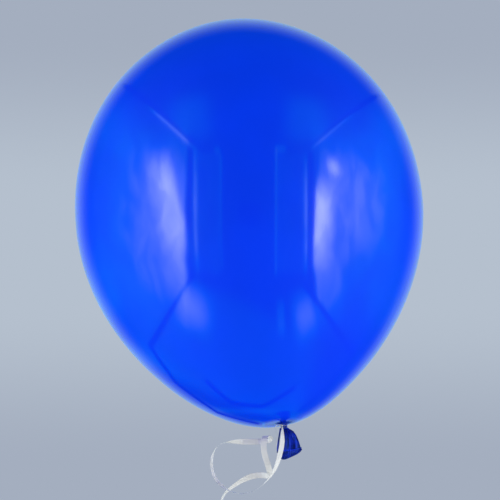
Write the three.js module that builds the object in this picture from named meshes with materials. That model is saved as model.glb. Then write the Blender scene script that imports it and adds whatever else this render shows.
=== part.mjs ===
// Latex balloon, 300 mm across, tied off and held at its neck by a curled ribbon.
// Millimetres, +Z up. The origin is the middle of the waist, where the ribbon is
// tied round the neck. The balloon's axis is vertical and its front faces -Y.
import * as THREE from 'three';

// ---- driving dimensions -------------------------------------------------------------

// The inflated skin, as an outline of two smooth curves that meet at the equator.
const EQUATOR_RADIUS = 150;
const EQUATOR_Z = 189.2;
const CROWN_RISE = 171;        // crown above the equator
const CROWN_FULLNESS = 62.4;   // how far the crown stays level before it turns down
const SHOULDER_RISE = 114;     // how far the side stays upright above the equator
const HIP_DROP = 103.6;        // how far the side stays upright below the equator
const BASE_FULLNESS = 54.3;    // how far the underside stays level round the neck
const THROAT_Z = 3;            // underside of the skin at the neck
const THROAT_RADIUS = 7;
const THROAT_HOLE = 1.5;       // the bore that the gathered neck closes
const SKIN = 0.35;
const NECK_OFFSET = 8.5;       // the neck sits this far off the middle of the skin
const OFFSET_REACH = 90;       // radius within which the underside is drawn towards the neck
const SAG_REACH = 95;          // radius within which the underside sags round the neck
const SAG_START = [7, 20];     // radii over which the sag begins
const SAG = 0.35;
const SAG_TILT = 0.085;        // more sag on the left than on the right, per millimetre
const SKIN_SIDES = 48;
const SKIN_STEPS = 14;         // steps along each half of the outline

const GAP = 0.3;               // clearance between pieces that touch

// The neck: gathered throat, waist, knot and free tail.
const GATHER_RADIUS = 6.5;
const WAIST_RADIUS = 2.1;
const WAIST_BOTTOM = -1;
const NECK_SIDES = 32;
const KNOT_CENTRE = [0.3, 0, -2.4];
const KNOT_HALF = [3.9, 2.6, 1.1];
const TAIL_HINGE_Z = -4.8;
const TAIL_TILT = 9;           // degrees that the tail leans towards +X
const TAIL_SHIFT = 1.8;
const TAIL_FLATNESS = 0.24;    // thickness of the flattened sleeve over its width
const SLEEVE_WALL = 1.1;       // before flattening
const SLEEVE_END = -15;        // from the hinge down to the rolled lip
const LIP_HEIGHT = 6.6;
const LIP_OUTER = 9.4;
const LIP_INNER = 8.1;
const FOLD_THICKNESS = 1.4;

// The ribbon, 5 mm wide, held here as a plain round tube of the room that it takes.
const RIBBON_TUBE = 4;
const WRAP_INNER = 2.4;
const WRAP_OUTER = 3.3;
const WRAP_TOP = 0.9;
const WRAP_BOTTOM = -0.8;
const TIE_CENTRE = [-1.4, -5.2, -0.6];
const TIE_RADIUS = 1.6;
const TAG_WIDTH = 3.6;
const TAG_BACK = -2.8;
const TAG_OUTER_EDGE = [[-3.9, 0.5], [-6.2, 0.5], [-7.6, -0.6], [-7.8, -4], [-7.9, -10], [-8.6, -17]];
const TAG_INNER_EDGE = [[-8, -17], [-7.3, -10], [-7.2, -4], [-7, -1], [-6, -0.1], [-3.9, -0.1]];
const CURL_STEPS = 64;

// The close ringlets that take up the rest of the ribbon.
const RINGLET_AXIS = [-38.5, 0.5];
const RINGLET_RADIUS = 25;     // to the middle of the ribbon
const RINGLET_WALL = 4.2;
const RINGLET_TOP = -68.5;
const RINGLET_BOTTOM = -163;

// The free ribbon's route from its knot: down in front of the tail, round a first open
// loop to the left, back behind it, over and down the second loop and away to the left.
const RIBBON_ROUTE = [
  [-1.3, -6, -2.8], [-1.8, -8.5, -8.1], [-2.7, -10, -13.8], [-4.4, -11, -20.4], [-6.5, -12, -26.5],
  [-9, -12.5, -32.6], [-12.8, -12.5, -39.5], [-19.8, -12, -47.1], [-28, -11, -52.5],
  [-36.3, -9, -54.7], [-44.3, -6.5, -53.9], [-51.9, -4, -50.2], [-57.8, -1.5, -44.7],
  [-62.5, 0.5, -37.1], [-64.3, 2, -28.4], [-63.6, 3, -20.6], [-60.8, 4, -13.6], [-56.1, 6.5, -8.5],
  [-50, 10, -6.2], [-42.6, 14, -5.9], [-34.3, 17, -6.3], [-26.4, 18.5, -7], [-19.2, 17.5, -7.5],
  [-14.2, 14, -7.7], [-12.7, 8.5, -7.5], [-13.9, 3, -7.1], [-16, -2, -7.2], [-17.6, -5.6, -10.3],
  [-18.8, -7, -15.1], [-19.1, -7.5, -20.6], [-18.4, -7, -26.6], [-17.2, -6, -32.6],
  [-16.5, -3, -36.9], [-16.6, 1.5, -39.2], [-18.2, 6.5, -39.5], [-22.3, 9.5, -38.2],
  [-27.9, 11, -37.4], [-34.1, 11.5, -38.1], [-41.7, 11, -40.9], [-48.9, 10.5, -44.7],
  [-54.8, 9.5, -48.8], [-58.7, 7.5, -54.2], [-62.5, 4.5, -63], [-63.5, 0.5, -66.5],
];

// ---- materials and helpers ------------------------------------------------------------

const rad = THREE.MathUtils.degToRad;

function finish(color, roughness) {
  return new THREE.MeshStandardMaterial({ color, roughness, metalness: 0 });
}

const STRETCHED_LATEX = finish(0x0340e1, 0.12);
const SLACK_LATEX = finish(0x05158f, 0.35);
const RIBBON_PLASTIC = finish(0xd8dce6, 0.3);

function piece(name, geometry, material) {
  const mesh = new THREE.Mesh(geometry, material.clone());
  mesh.name = name;
  return mesh;
}

// Turns a profile of [radius, z] pairs round the vertical axis.
function turned(profile, sides) {
  const points = profile.map(([r, z]) => new THREE.Vector2(r, z));
  return new THREE.LatheGeometry(points, sides).rotateX(Math.PI / 2);
}

// A ball with its own half-sizes along X, Y and Z.
function lump(half, centre, sides = 24, rows = 14) {
  const geometry = new THREE.SphereGeometry(1, sides, rows);
  return geometry.rotateX(Math.PI / 2).scale(...half).translate(...centre);
}

// ---- the inflated skin ------------------------------------------------------------------

// The outline from the throat up to the crown, moved inwards by inset.
function skinOutline(inset) {
  const base = new THREE.CubicBezierCurve(
    new THREE.Vector2(THROAT_RADIUS, THROAT_Z),
    new THREE.Vector2(BASE_FULLNESS, THROAT_Z),
    new THREE.Vector2(EQUATOR_RADIUS, EQUATOR_Z - HIP_DROP),
    new THREE.Vector2(EQUATOR_RADIUS, EQUATOR_Z),
  );
  const dome = new THREE.CubicBezierCurve(
    new THREE.Vector2(EQUATOR_RADIUS, EQUATOR_Z),
    new THREE.Vector2(EQUATOR_RADIUS, EQUATOR_Z + SHOULDER_RISE),
    new THREE.Vector2(CROWN_FULLNESS, EQUATOR_Z + CROWN_RISE),
    new THREE.Vector2(0, EQUATOR_Z + CROWN_RISE),
  );
  const outline = [[THROAT_HOLE, THROAT_Z + inset]];
  for (const half of [base, dome]) {
    const first = half === base ? 0 : 1;
    for (let i = first; i <= SKIN_STEPS; i += 1) {
      const t = i / SKIN_STEPS;
      const p = half.getPoint(t);
      const along = half.getTangent(t);
      outline.push([Math.max(0, p.x - inset * along.y), p.y + inset * along.x]);
    }
  }
  outline[outline.length - 1][0] = 0;
  return outline;
}

// How strongly something acts at a distance from the middle, from 1 down to 0 at the reach.
function fading(distance, reach) {
  return distance < reach ? (1 - (distance / reach) ** 2) ** 2 : 0;
}

// Draws the underside sideways, so that the neck ends up on the origin's axis, and lets it
// sag round the neck.
function drawTowardsNeck(geometry) {
  const position = geometry.attributes.position;
  for (let i = 0; i < position.count; i += 1) {
    const x = position.getX(i);
    const z = position.getZ(i);
    const distance = Math.hypot(x, position.getY(i));
    const low = z < EQUATOR_Z / 2 ? 1 : 0;
    const pull = low * fading(distance, OFFSET_REACH);
    const begun = THREE.MathUtils.smoothstep(distance, ...SAG_START);
    const sag = low * begun * fading(distance, SAG_REACH) * (SAG - SAG_TILT * x);
    position.setX(i, x - NECK_OFFSET * (1 - pull));
    position.setZ(i, z - sag);
  }
  return geometry;
}

function envelope() {
  const outer = skinOutline(0);
  const inner = skinOutline(SKIN).reverse();
  const profile = [...outer, ...inner, outer[0]];
  return piece('envelope', drawTowardsNeck(turned(profile, SKIN_SIDES)), STRETCHED_LATEX);
}

// ---- the neck ---------------------------------------------------------------------------

function neckGather() {
  const top = THROAT_Z - GAP;
  const profile = [
    [0, WAIST_BOTTOM],
    [WAIST_RADIUS, WAIST_BOTTOM],
    [WAIST_RADIUS, 1.2],
    [2.8, 1.6],
    [4.2, 2.1],
    [GATHER_RADIUS, top],
    [0, top],
  ];
  return piece('neck_gather', turned(profile, NECK_SIDES), SLACK_LATEX);
}

function neckKnot() {
  return piece('neck_knot', lump(KNOT_HALF, KNOT_CENTRE), SLACK_LATEX);
}

// The free end of the neck: a flattened, flared sleeve, closed where it leaves the knot.
// Its profiles are [half width, height above the hinge].
function neckTail() {
  const outer = [[8.7, SLEEVE_END], [8.2, -11], [7, -7], [5.1, -3], [3.3, 0], [2.4, 0.55], [0, 0.8]];
  const inner = [[0, -2], [2.4, -3], [5, -6.4], [6.9, -10.6], [8.7 - SLEEVE_WALL, SLEEVE_END]];
  const sleeve = turned([...outer, ...inner, outer[0]], NECK_SIDES);
  return piece('neck_tail', sleeve.scale(1, TAIL_FLATNESS, 1), SLACK_LATEX);
}

function rolledLip() {
  const top = SLEEVE_END - GAP;
  const bottom = top - LIP_HEIGHT;
  const profile = [
    [LIP_INNER, bottom + 0.6],
    [LIP_INNER + 0.4, bottom],
    [LIP_OUTER - 0.3, bottom],
    [LIP_OUTER, bottom + 0.6],
    [LIP_OUTER - 0.3, top - 0.5],
    [LIP_OUTER - 0.7, top],
    [LIP_INNER, top],
    [LIP_INNER, bottom + 0.6],
  ];
  const band = turned(profile, NECK_SIDES).scale(1, TAIL_FLATNESS, 1);
  return piece('rolled_lip', band, SLACK_LATEX);
}

function neckFold() {
  const edge = new THREE.Shape();
  edge.moveTo(-3, -4.3);
  edge.quadraticCurveTo(-4.9, -12, -7.2, -20.6);
  edge.lineTo(-8.8, -20.6);
  edge.quadraticCurveTo(-6.6, -12, -4.6, -4.3);
  edge.closePath();
  const slab = new THREE.ExtrudeGeometry(edge, {
    depth: FOLD_THICKNESS, bevelEnabled: false, curveSegments: 6,
  });
  slab.translate(0, 0, -FOLD_THICKNESS / 2).rotateX(Math.PI / 2);
  return piece('neck_fold', slab, SLACK_LATEX);
}

// ---- the ribbon -------------------------------------------------------------------------

function ribbonWrap() {
  const middle = (WRAP_TOP + WRAP_BOTTOM) / 2;
  const profile = [
    [WRAP_INNER, WRAP_BOTTOM],
    [WRAP_OUTER - 0.2, WRAP_BOTTOM],
    [WRAP_OUTER, (WRAP_BOTTOM + middle) / 2],
    [WRAP_OUTER - 0.15, middle],
    [WRAP_OUTER, (WRAP_TOP + middle) / 2],
    [WRAP_OUTER - 0.2, WRAP_TOP],
    [WRAP_INNER, WRAP_TOP],
    [WRAP_INNER, WRAP_BOTTOM],
  ];
  return piece('ribbon_wrap', turned(profile, NECK_SIDES), RIBBON_PLASTIC);
}

function ribbonKnot() {
  const half = [TIE_RADIUS, TIE_RADIUS, TIE_RADIUS];
  return piece('ribbon_knot', lump(half, TIE_CENTRE, 16, 10), RIBBON_PLASTIC);
}

// The short cut end beside the knot, which turns down along the fold of the neck.
function ribbonTagEnd() {
  const edges = [...TAG_OUTER_EDGE, ...TAG_INNER_EDGE];
  const outline = new THREE.Shape(edges.map(([x, z]) => new THREE.Vector2(x, z)));
  const strip = new THREE.ExtrudeGeometry(outline, { depth: TAG_WIDTH, bevelEnabled: false });
  strip.rotateX(Math.PI / 2).translate(0, TAG_BACK, 0);
  return piece('ribbon_tag_end', strip, RIBBON_PLASTIC);
}

function ribbonCurl() {
  const route = new THREE.CatmullRomCurve3(RIBBON_ROUTE.map((p) => new THREE.Vector3(...p)));
  const section = new THREE.Shape();
  section.absarc(0, 0, RIBBON_TUBE / 2, 0, 2 * Math.PI);
  const tube = new THREE.ExtrudeGeometry(section, {
    extrudePath: route, steps: CURL_STEPS, curveSegments: 4, bevelEnabled: false,
  });
  return piece('ribbon_curl', tube, RIBBON_PLASTIC);
}

function ribbonRinglet() {
  const inner = RINGLET_RADIUS - RINGLET_WALL / 2;
  const outer = RINGLET_RADIUS + RINGLET_WALL / 2;
  const profile = [
    [inner, RINGLET_BOTTOM],
    [outer, RINGLET_BOTTOM],
    [outer, RINGLET_TOP],
    [inner, RINGLET_TOP],
    [inner, RINGLET_BOTTOM],
  ];
  const mesh = piece('ribbon_ringlet', turned(profile, NECK_SIDES), RIBBON_PLASTIC);
  mesh.position.set(...RINGLET_AXIS, 0);
  return mesh;
}

// ---- assembly ---------------------------------------------------------------------------

function tail() {
  const leaning = new THREE.Group();
  leaning.position.set(TAIL_SHIFT, 0, TAIL_HINGE_Z);
  leaning.rotation.y = -rad(TAIL_TILT);
  leaning.add(neckTail(), rolledLip());
  return leaning;
}

const balloon = new THREE.Group();
balloon.add(envelope(), neckGather(), neckKnot(), tail(), neckFold());
balloon.add(ribbonWrap(), ribbonKnot(), ribbonTagEnd(), ribbonCurl(), ribbonRinglet());

export default balloon;
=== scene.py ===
"""A latex balloon on a curled ribbon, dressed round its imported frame.

The balloon's axis is +Z and its front faces -Y. The origin is the waist of the neck,
where the ribbon is tied. Lengths are in metres.
"""

import logging
import math
from dataclasses import dataclass, field
from enum import Enum
from typing import Callable, Iterable, Sequence

import bmesh
import bpy
import numpy as np
from mathutils import Matrix, Vector


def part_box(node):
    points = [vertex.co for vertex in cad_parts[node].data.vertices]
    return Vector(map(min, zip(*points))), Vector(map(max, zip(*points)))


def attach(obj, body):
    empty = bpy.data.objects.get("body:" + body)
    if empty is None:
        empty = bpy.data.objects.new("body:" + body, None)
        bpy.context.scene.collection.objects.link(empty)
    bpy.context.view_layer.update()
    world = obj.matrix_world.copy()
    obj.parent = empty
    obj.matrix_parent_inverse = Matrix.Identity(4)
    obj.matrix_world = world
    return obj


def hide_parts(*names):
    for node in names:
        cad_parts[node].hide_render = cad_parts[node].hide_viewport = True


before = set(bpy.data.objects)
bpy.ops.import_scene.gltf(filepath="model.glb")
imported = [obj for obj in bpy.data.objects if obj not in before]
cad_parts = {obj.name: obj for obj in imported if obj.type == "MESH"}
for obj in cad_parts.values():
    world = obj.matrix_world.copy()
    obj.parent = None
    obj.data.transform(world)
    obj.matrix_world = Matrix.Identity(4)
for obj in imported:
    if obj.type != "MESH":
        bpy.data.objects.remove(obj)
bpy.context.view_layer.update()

MM = 0.001
FRONT_ELEVATION = -15.0   # of the front view, in degrees
LATEX_IOR = 1.5
log = logging.getLogger("balloon")

Point = tuple[float, float, float]
Colour = tuple[float, float, float]
Spot = tuple[float, float]


class Body(Enum):
    """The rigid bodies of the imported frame."""

    BALLOON = "balloon"
    TAIL = "tail"
    TIE = "ribbon_tie"
    FALL = "ribbon_fall"


class Slot(Enum):
    """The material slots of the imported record."""

    STRETCHED = "stretched_latex"
    SLACK = "slack_latex"
    RIBBON = "ribbon_plastic"


# ---- shader helpers ----------------------------------------------------------------------


def srgb(red: int, green: int, blue: int) -> Colour:
    """Turns a display colour of 0 to 255 into linear light.

    Args:
        red: The red part.
        green: The green part.
        blue: The blue part.

    Returns:
        The three linear parts, 0 to 1.
    """

    def linear(part: int) -> float:
        """Returns one part in linear light."""
        share = part / 255
        return share / 12.92 if share <= 0.04045 else ((share + 0.055) / 1.055) ** 2.4

    return linear(red), linear(green), linear(blue)


class Wiring:
    """A short way to place and join the nodes of one node tree."""

    def __init__(self, tree: bpy.types.NodeTree) -> None:
        """Keeps the tree that the nodes go into."""
        self.tree = tree

    def add(self, kind: str, inputs: dict[str | int, object] | None = None,
            **settings: object) -> bpy.types.Node:
        """Places a node.

        Args:
            kind: The node's type name.
            inputs: What its input sockets get, by their name or number.
            **settings: Properties to set on it.

        Returns:
            The new node.
        """
        node = self.tree.nodes.new(kind)
        for name, value in settings.items():
            setattr(node, name, value)
        self.feed_all(node, inputs or {})
        return node

    def feed(self, socket: bpy.types.NodeSocket, source: object) -> None:
        """Joins a socket to an output, or gives it a value.

        Args:
            socket: The input socket.
            source: An output socket, a number, or a tuple.
        """
        if isinstance(source, bpy.types.NodeSocket):
            self.tree.links.new(source, socket)
        elif isinstance(source, tuple) and len(source) == 3 and socket.type == "RGBA":
            socket.default_value = (*source, 1.0)
        else:
            socket.default_value = source

    def feed_all(self, node: bpy.types.Node, inputs: dict[str | int, object]) -> None:
        """Joins or sets several input sockets of a node, by their name or number."""
        for name, source in inputs.items():
            self.feed(node.inputs[name], source)

    def math(self, operation: str, *terms: object) -> bpy.types.NodeSocket:
        """Returns the result of a Math node on the given terms."""
        return self.add("ShaderNodeMath", dict(enumerate(terms)), operation=operation).outputs[0]

    def vector(self, operation: str, *terms: object) -> bpy.types.Node:
        """Returns a Vector Math node on the given terms."""
        return self.add("ShaderNodeVectorMath", dict(enumerate(terms)), operation=operation)

    def dot(self, first: object, second: object) -> bpy.types.NodeSocket:
        """Returns the dot product of two vectors."""
        return self.vector("DOT_PRODUCT", first, second).outputs["Value"]

    def ramp(self, value: object, low: object, high: object, start: float = 0.0,
             end: float = 1.0) -> bpy.types.NodeSocket:
        """Maps a value smoothly from one range to another.

        Args:
            value: What is mapped.
            low: The value that gives start.
            high: The value that gives end.
            start: The result at and before low.
            end: The result at and past high.

        Returns:
            The mapped value.
        """
        ends = {"Value": value, "From Min": low, "From Max": high, "To Min": start, "To Max": end}
        node = self.add("ShaderNodeMapRange", ends, interpolation_type="SMOOTHSTEP", clamp=True)
        return node.outputs["Result"]

    def mix(self, share: object, first: object, second: object,
            blend: str = "MIX") -> bpy.types.NodeSocket:
        """Returns two colours mixed by a share of 0 to 1."""
        node = self.add("ShaderNodeMix", data_type="RGBA", blend_type=blend)
        self.feed_all(node, {"Factor": share, 6: first, 7: second})
        return node.outputs[2]

    def join(self, kind: str, *parts: object) -> bpy.types.NodeSocket:
        """Returns single values joined as one colour or vector."""
        return self.add(kind, dict(enumerate(parts))).outputs[0]

    def grey(self, value: bpy.types.NodeSocket) -> bpy.types.NodeSocket:
        """Returns a single value as a grey colour."""
        return self.join("ShaderNodeCombineColor", value, value, value)


def new_group(name: str, inputs: Sequence[tuple[str, str, object]],
              outputs: Sequence[tuple[str, str]]) -> tuple[Wiring, object, object]:
    """Starts a shader node group.

    Args:
        name: The group's name.
        inputs: Name, socket type and default of each input.
        outputs: Name and socket type of each output.

    Returns:
        The wiring inside, the group's input node and its output node.
    """
    tree = bpy.data.node_groups.new(name, "ShaderNodeTree")
    for label, kind, default in inputs:
        socket = tree.interface.new_socket(label, in_out="INPUT", socket_type=kind)
        socket.default_value = default
    for label, kind in outputs:
        tree.interface.new_socket(label, in_out="OUTPUT", socket_type=kind)
    wiring = Wiring(tree)
    return wiring, wiring.add("NodeGroupInput"), wiring.add("NodeGroupOutput")


def zone_group() -> bpy.types.NodeTree:
    """Builds the effect that finds a ball-shaped zone round a point of the rubber.

    Returns:
        A group whose Mask is 1 inside the inner radius and 0 past the outer one.
    """
    wiring, given, result = new_group(
        "slack_zone",
        [("Centre", "NodeSocketVector", (0, 0, 0)), ("Inner", "NodeSocketFloat", 0.003),
         ("Outer", "NodeSocketFloat", 0.016)],
        [("Mask", "NodeSocketFloat")])
    place = wiring.add("ShaderNodeTexCoord")
    away = wiring.vector("DISTANCE", place.outputs["Object"], given.outputs["Centre"])
    wiring.feed(result.inputs["Mask"], wiring.ramp(
        away.outputs["Value"], given.outputs["Inner"], given.outputs["Outer"], 1.0, 0.0))
    return wiring.tree


def mottle_group() -> bpy.types.NodeTree:
    """Builds the faint cloudiness and skin texture of dip-moulded latex.

    Returns:
        A group with a Cloud mask round 0.5 and a fine Grain height.
    """
    wiring, given, result = new_group(
        "latex_mottle",
        [("Cloud Scale", "NodeSocketFloat", 18.0), ("Grain Scale", "NodeSocketFloat", 900.0)],
        [("Cloud", "NodeSocketFloat"), ("Grain", "NodeSocketFloat")])
    place = wiring.add("ShaderNodeTexCoord").outputs["Object"]
    for label, detail in (("Cloud", 3.0), ("Grain", 2.0)):
        noise = wiring.add("ShaderNodeTexNoise", {
            "Vector": place, "Scale": given.outputs[f"{label} Scale"], "Detail": detail})
        wiring.feed(result.inputs[label], noise.outputs["Fac"])
    return wiring.tree


def place_group(wiring: Wiring, tree: bpy.types.NodeTree, **values: object) -> bpy.types.Node:
    """Places a shared effect in a material.

    Args:
        wiring: The material's wiring.
        tree: The effect's node group.
        **values: Its inputs, with _ for a space in the name.

    Returns:
        The group node.
    """
    node = wiring.add("ShaderNodeGroup", node_tree=tree)
    for name, value in values.items():
        wiring.feed(node.inputs[name.replace("_", " ")], value)
    return node


def new_material(name: str) -> tuple[bpy.types.Material, Wiring, bpy.types.Node]:
    """Starts a material.

    Args:
        name: The material's name.

    Returns:
        The material, its wiring and its Principled shader.
    """
    material = bpy.data.materials.new(name)
    material.use_nodes = True
    wiring = Wiring(material.node_tree)
    return material, wiring, material.node_tree.nodes["Principled BSDF"]


# ---- finishes ----------------------------------------------------------------------------


@dataclass(frozen=True)
class StretchedLatex:
    """Taut glossy skin, darker where the rubber stays thick at the neck and the crown."""

    colour: Colour = srgb(0, 45, 209)
    thick: Colour = srgb(2, 24, 146)
    neck: Point = (0.0012, 0.0, 0.0015)
    neck_reach: tuple[float, float] = (0.0045, 0.0122)
    crown: Point = (0.0, 0.0, 0.36)
    crown_reach: tuple[float, float] = (0.003, 0.013)
    crown_strength: float = 0.6
    cloud_scale: float = 14.0
    cloud_spread: float = 0.04        # how far the clouds lighten and darken the colour
    grain_scale: float = 1400.0
    grain_height: float = 0.2 * MM
    grain_strength: float = 0.02
    roughness: float = 0.11
    thick_roughness: float = 0.23
    coat: float = 0.5
    coat_roughness: float = 0.03

    def build(self, zone: bpy.types.NodeTree, mottle: bpy.types.NodeTree) -> bpy.types.Material:
        """Builds the material.

        Args:
            zone: The slack_zone effect.
            mottle: The latex_mottle effect.

        Returns:
            The material.
        """
        material, wiring, skin = new_material(Slot.STRETCHED.value)
        neck = place_group(wiring, zone, Centre=self.neck, Inner=self.neck_reach[0],
                           Outer=self.neck_reach[1])
        crown = place_group(wiring, zone, Centre=self.crown, Inner=self.crown_reach[0],
                            Outer=self.crown_reach[1])
        crown_share = wiring.math("MULTIPLY", crown.outputs["Mask"], self.crown_strength)
        slack = wiring.math("MAXIMUM", neck.outputs["Mask"], crown_share)
        grain = place_group(wiring, mottle, Cloud_Scale=self.cloud_scale,
                            Grain_Scale=self.grain_scale)
        cloudy = wiring.ramp(grain.outputs["Cloud"], 0.3, 0.7, 1 - self.cloud_spread,
                             1 + self.cloud_spread)
        tinted = wiring.mix(1.0, self.colour, wiring.grey(cloudy), "MULTIPLY")
        bump = wiring.add("ShaderNodeBump", {
            "Strength": self.grain_strength, "Distance": self.grain_height,
            "Height": grain.outputs["Grain"]})
        wiring.feed_all(skin, {
            "Base Color": wiring.mix(slack, tinted, self.thick),
            "Roughness": wiring.ramp(slack, 0.0, 1.0, self.roughness, self.thick_roughness),
            "Normal": bump.outputs["Normal"], "IOR": LATEX_IOR, "Coat Weight": self.coat,
            "Coat Roughness": self.coat_roughness})
        return material


@dataclass(frozen=True)
class SlackLatex:
    """Thick navy rubber with a satin skin and fine lengthwise wrinkles."""

    colour: Colour = srgb(0, 17, 138)
    deep: Colour = srgb(0, 4, 80)
    # painted highlight: a lighter blue laid on pleat tops, rib tops and the lip's upper edge
    painted_highlight: Colour = srgb(4, 38, 200)
    highlight_strength: float = 0.85
    cloud_scale: float = 210.0
    grain_scale: float = 2600.0
    wrinkle_scale: float = 1500.0
    wrinkle_draw: float = 0.12        # the wrinkles' width over their length
    wrinkle_height: float = 0.3 * MM
    wrinkle_strength: float = 0.35
    roughness: float = 0.3
    deep_roughness: float = 0.38
    sheen: float = 0.42
    sheen_colour: Colour = (0.25, 0.5, 1.0)

    def build(self, mottle: bpy.types.NodeTree) -> bpy.types.Material:
        """Builds the material, which paints a highlight by how near each point is to the top of a
        pleat.

        Args:
            mottle: The latex_mottle effect.

        Returns:
            The material.
        """
        material, wiring, rubber = new_material(Slot.SLACK.value)
        grain = place_group(wiring, mottle, Cloud_Scale=self.cloud_scale,
                            Grain_Scale=self.grain_scale)
        share = wiring.ramp(grain.outputs["Cloud"], 0.35, 0.68)
        tone = wiring.mix(share, self.deep, self.colour)
        # painted highlight: lightens the tone where the mesh marks the top of a pleat or rib
        painted_highlight = wiring.add("ShaderNodeAttribute", attribute_name="painted_highlight").outputs["Fac"]
        tone = wiring.mix(wiring.ramp(painted_highlight, 0.2, 1.0, 0.0, self.highlight_strength), tone, self.painted_highlight)
        drawn = wiring.add("ShaderNodeMapping", {
            "Scale": (1.0, 1.0, self.wrinkle_draw),
            "Vector": wiring.add("ShaderNodeTexCoord").outputs["Object"]})
        wrinkle = wiring.add("ShaderNodeTexNoise", {
            "Vector": drawn.outputs["Vector"], "Scale": self.wrinkle_scale, "Detail": 3.0})
        bump = wiring.add("ShaderNodeBump", {
            "Strength": self.wrinkle_strength, "Distance": self.wrinkle_height,
            "Height": wrinkle.outputs["Fac"]})
        wiring.feed_all(rubber, {
            "Base Color": tone,
            "Roughness": wiring.ramp(share, 0.0, 1.0, self.deep_roughness, self.roughness),
            "Normal": bump.outputs["Normal"], "IOR": LATEX_IOR,
            "Specular IOR Level": self.sheen, "Specular Tint": self.sheen_colour})
        return material


@dataclass(frozen=True)
class RibbonPlastic:
    """Thin white strip with fine ribs along it."""

    colour: Colour = srgb(200, 200, 197)
    # painted shade: this greyer white fills the grooves between the ribs
    rib: Colour = srgb(176, 178, 181)
    ribs: float = 13.0
    rib_height: float = 0.06 * MM
    rib_strength: float = 0.5
    fibres_across: float = 9.0
    fibres_along: float = 60.0
    roughness: float = 0.3
    dull_roughness: float = 0.42
    ior: float = 1.49

    def build(self) -> bpy.types.Material:
        """Builds the material, which reads the strip's own place across its width.

        Returns:
            The material.
        """
        material, wiring, strip = new_material(Slot.RIBBON.value)
        across, along = (wiring.add("ShaderNodeAttribute", attribute_name=name).outputs["Fac"]
                         for name in ("across", "along"))
        wave = wiring.math("SINE", wiring.math("MULTIPLY", across, self.ribs * math.pi))
        place = wiring.join("ShaderNodeCombineXYZ",
                            wiring.math("MULTIPLY", across, self.fibres_across),
                            wiring.math("MULTIPLY", along, self.fibres_along))
        fibre = wiring.add("ShaderNodeTexNoise", noise_dimensions="2D")
        wiring.feed_all(fibre, {"Vector": place, "Scale": 1.0})
        fibre = fibre.outputs["Fac"]
        # painted shade, darkest in the grooves where the rib bump is lowest, times a random fibre
        # streak that is the strip's own tone
        groove_shade_and_fibre = wiring.math("MULTIPLY", wiring.ramp(wave, -1.0, 1.0),
                             wiring.ramp(fibre, 0.3, 0.7, 0.6, 1.0))
        bump = wiring.add("ShaderNodeBump", {
            "Strength": self.rib_strength, "Distance": self.rib_height, "Height": wave})
        wiring.feed_all(strip, {
            "Base Color": wiring.mix(groove_shade_and_fibre, self.rib, self.colour),
            "Roughness": wiring.ramp(fibre, 0.3, 0.7, self.roughness, self.dull_roughness),
            "Normal": bump.outputs["Normal"], "IOR": self.ior})
        return material


# ---- mesh helpers ------------------------------------------------------------------------


def make_object(name: str, vertices: Iterable[Sequence[float]],
                faces: Iterable[Sequence[int]]) -> bpy.types.Object:
    """Makes a smooth mesh object from points and faces.

    Args:
        name: The object's name.
        vertices: Its points.
        faces: Its faces, as indices into the points.

    Returns:
        The object, linked to the scene.
    """
    mesh = bpy.data.meshes.new(name)
    mesh.from_pydata([tuple(v) for v in vertices], [], [tuple(f) for f in faces])
    mesh.polygons.foreach_set("use_smooth", [True] * len(mesh.polygons))
    mesh.update()
    made = bpy.data.objects.new(name, mesh)
    bpy.context.scene.collection.objects.link(made)
    return made


def paint_highlights(made: bpy.types.Object, highlight_shares: Sequence[float]) -> None:
    """Keeps a painted highlight share for each point, higher near the top of a pleat or rib, for the
    finish to read.

    Args:
        made: The object, not yet tidied.
        highlight_shares: A share of 0 to 1 for each point.
    """
    layer = made.data.attributes.new("painted_highlight", "FLOAT", "POINT")
    layer.data.foreach_set("value", list(highlight_shares))


def tidy_mesh(made: bpy.types.Object, merge: float = 1e-7) -> None:
    """Merges doubled points and turns the faces outwards.

    Args:
        made: The object whose mesh is tidied.
        merge: Points this near each other become one.
    """
    work = bmesh.new()
    work.from_mesh(made.data)
    bmesh.ops.remove_doubles(work, verts=work.verts, dist=merge)
    bmesh.ops.recalc_face_normals(work, faces=work.faces)
    work.to_mesh(made.data)
    work.free()
    made.data.polygons.foreach_set("use_smooth", [True] * len(made.data.polygons))
    made.data.update()


def grid_faces(rows: int, columns: int, close_rows: bool = False,
               close_columns: bool = True) -> list[tuple[int, int, int, int]]:
    """Lists the quads of a grid of points.

    Args:
        rows: How many rows of points.
        columns: How many points in each row.
        close_rows: Whether the last row joins the first.
        close_columns: Whether each row closes on itself.

    Returns:
        The faces.
    """
    faces = []
    for i in range(rows if close_rows else rows - 1):
        below = (i + 1) % rows
        for j in range(columns if close_columns else columns - 1):
            beside = (j + 1) % columns
            faces.append((i * columns + j, i * columns + beside,
                          below * columns + beside, below * columns + j))
    return faces


def bake_modifiers(made: bpy.types.Object) -> None:
    """Turns an object's modifiers into plain mesh and removes them.

    Args:
        made: The object.
    """
    bpy.context.view_layer.update()
    view = bpy.context.evaluated_depsgraph_get()
    result = bpy.data.meshes.new_from_object(made.evaluated_get(view))
    made.modifiers.clear()
    old = made.data
    made.data = result
    result.name = made.name
    bpy.data.meshes.remove(old)


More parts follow.
